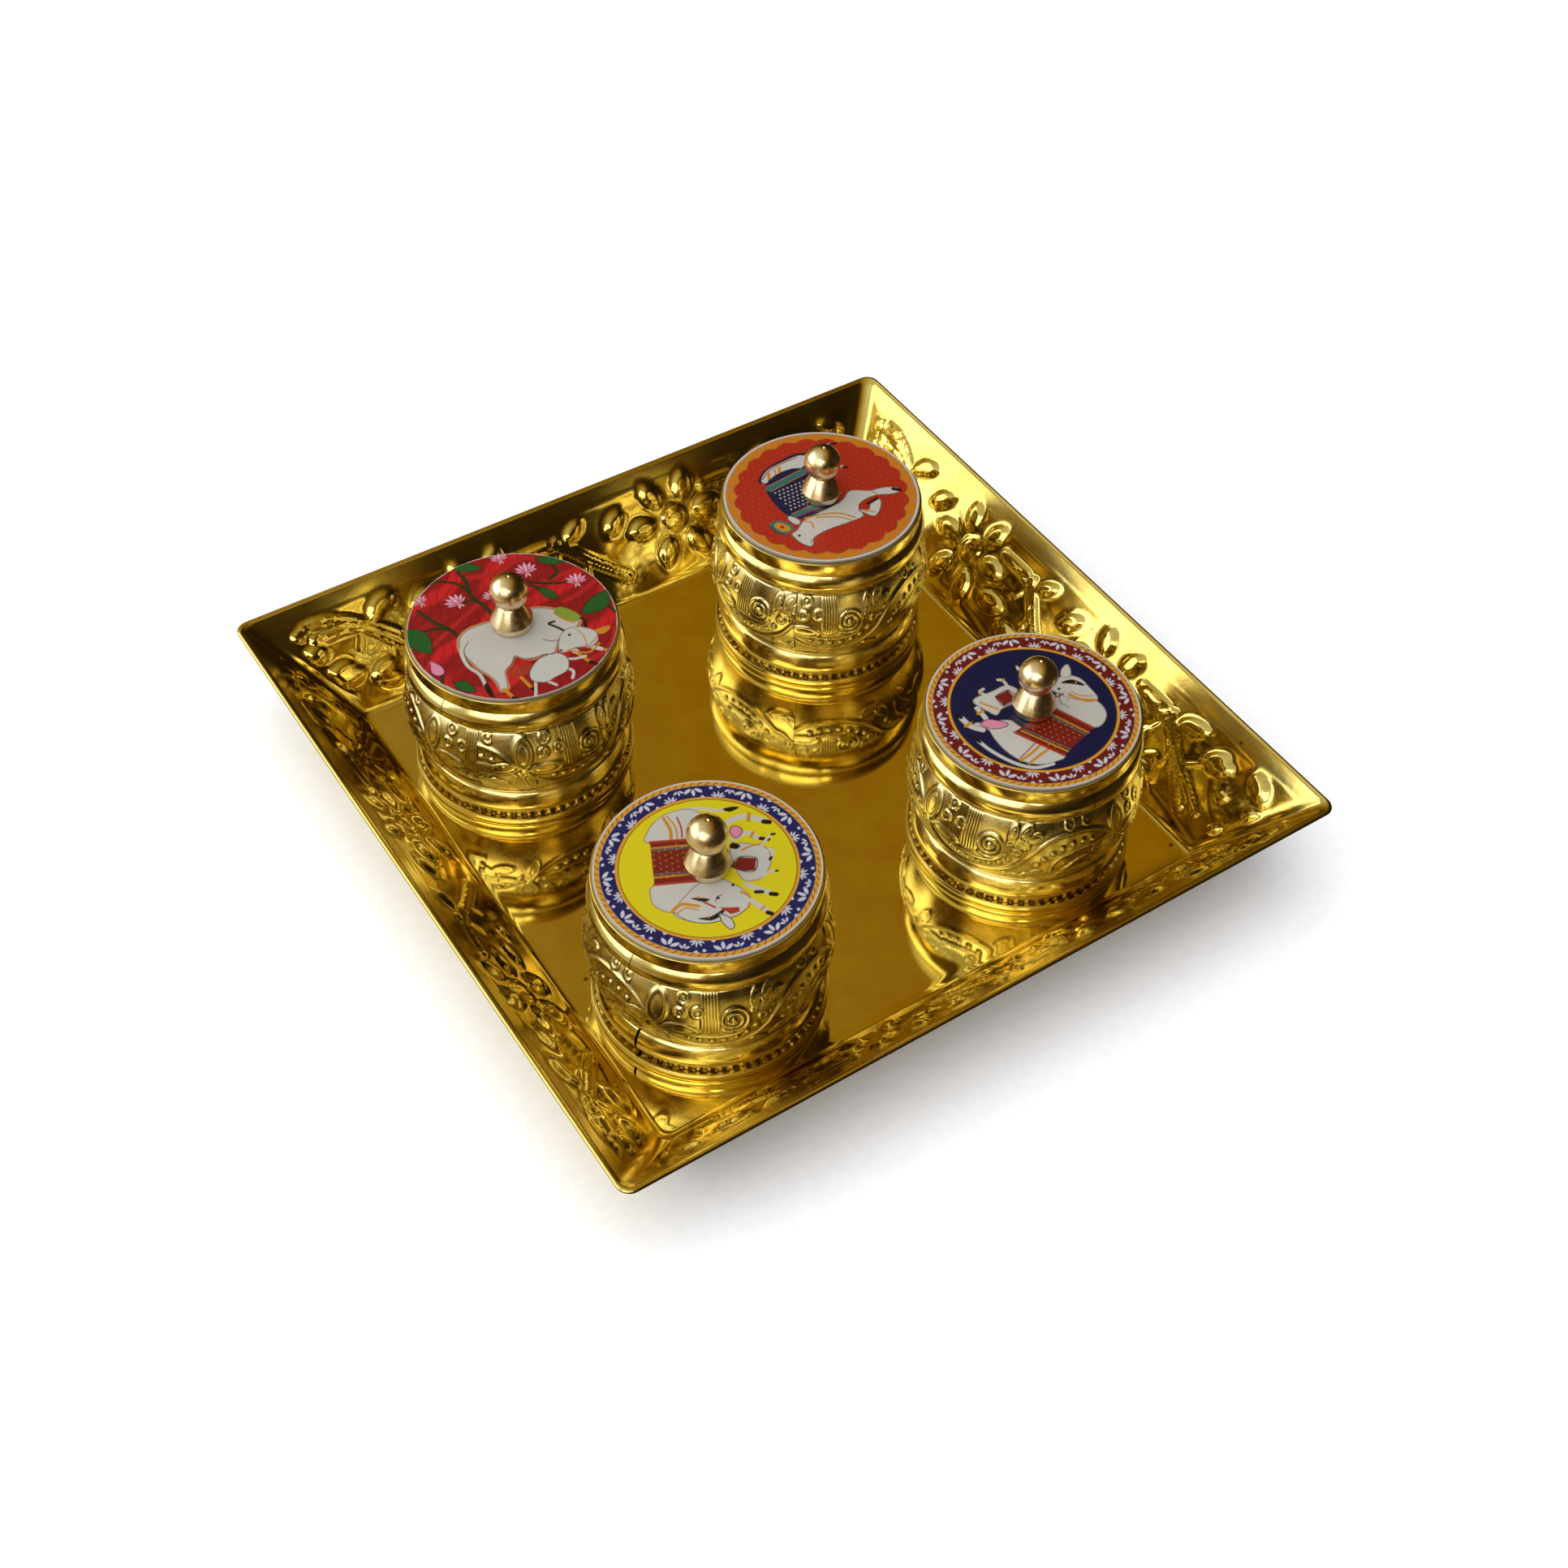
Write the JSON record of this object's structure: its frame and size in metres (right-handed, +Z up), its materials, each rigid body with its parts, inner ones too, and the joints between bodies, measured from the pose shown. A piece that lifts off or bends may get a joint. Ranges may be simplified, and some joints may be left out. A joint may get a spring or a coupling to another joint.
{
  "type": "brass spice and kumkum box set",
  "caption": "Square embossed brass tray holding small round lidded boxes for spice or vermilion, each with a turned knob and a printed lid disc.",
  "frame": {"origin": "middle of the tray's underside, on the surface it stands on", "axes": "+Z up; X and Y along the sides of the square tray, with the left and front boxes on the -X side and the back and left boxes on the +Y side"},
  "size_m": [0.203, 0.203, 0.0614],
  "materials": {
    "tray_brass": "polished sheet, floor near mirror, embossed walls",
    "embossed_brass": "embossed sheet, polished high spots, dark in the ground",
    "band_brass": "rolled sheet, polished",
    "liner_brass": "plain sheet, satin",
    "knob_brass": "turned, bright",
    "screw_steel": "zinc plated",
    "left_picture": "printed, clear gloss coat",
    "back_picture": "printed, clear gloss coat",
    "right_picture": "printed, clear gloss coat",
    "front_picture": "printed, clear gloss coat"
  },
  "bodies": {
    "tray": {"tray": "tray_brass"},
    "left_box": {"left_box_base_plate": "band_brass", "left_box_foot_band": "band_brass", "left_box_wall_band": "embossed_brass", "left_box_liner": "liner_brass"},
    "left_lid": {"left_lid_band": "band_brass", "left_lid_plate": "band_brass", "left_lid_picture": "left_picture", "left_lid_knob": "knob_brass", "left_lid_screw": "screw_steel", "left_lid_washer": "liner_brass"},
    "back_box": {"back_box_base_plate": "band_brass", "back_box_foot_band": "band_brass", "back_box_wall_band": "embossed_brass", "back_box_liner": "liner_brass"},
    "back_lid": {"back_lid_band": "band_brass", "back_lid_plate": "band_brass", "back_lid_picture": "back_picture", "back_lid_knob": "knob_brass", "back_lid_screw": "screw_steel", "back_lid_washer": "liner_brass"},
    "right_box": {"right_box_base_plate": "band_brass", "right_box_foot_band": "band_brass", "right_box_wall_band": "embossed_brass", "right_box_liner": "liner_brass"},
    "right_lid": {"right_lid_band": "band_brass", "right_lid_plate": "band_brass", "right_lid_picture": "right_picture", "right_lid_knob": "knob_brass", "right_lid_screw": "screw_steel", "right_lid_washer": "liner_brass"},
    "front_box": {"front_box_base_plate": "band_brass", "front_box_foot_band": "band_brass", "front_box_wall_band": "embossed_brass", "front_box_liner": "liner_brass"},
    "front_lid": {"front_lid_band": "band_brass", "front_lid_plate": "band_brass", "front_lid_picture": "front_picture", "front_lid_knob": "knob_brass", "front_lid_screw": "screw_steel", "front_lid_washer": "liner_brass"}
  },
  "joints": [
    {"name": "left_box_lift", "type": "slide", "parent": "tray", "child": "left_box", "axis": [0, 0, 1], "range_m": [0, 0.06]},
    {"name": "left_lid_lift", "type": "slide", "parent": "left_box", "child": "left_lid", "axis": [0, 0, 1], "range_m": [0, 0.03]},
    {"name": "back_box_lift", "type": "slide", "parent": "tray", "child": "back_box", "axis": [0, 0, 1], "range_m": [0, 0.06]},
    {"name": "back_lid_lift", "type": "slide", "parent": "back_box", "child": "back_lid", "axis": [0, 0, 1], "range_m": [0, 0.03]},
    {"name": "right_box_lift", "type": "slide", "parent": "tray", "child": "right_box", "axis": [0, 0, 1], "range_m": [0, 0.06]},
    {"name": "right_lid_lift", "type": "slide", "parent": "right_box", "child": "right_lid", "axis": [0, 0, 1], "range_m": [0, 0.03]},
    {"name": "front_box_lift", "type": "slide", "parent": "tray", "child": "front_box", "axis": [0, 0, 1], "range_m": [0, 0.06]},
    {"name": "front_lid_lift", "type": "slide", "parent": "front_box", "child": "front_lid", "axis": [0, 0, 1], "range_m": [0, 0.03]}
  ]
}
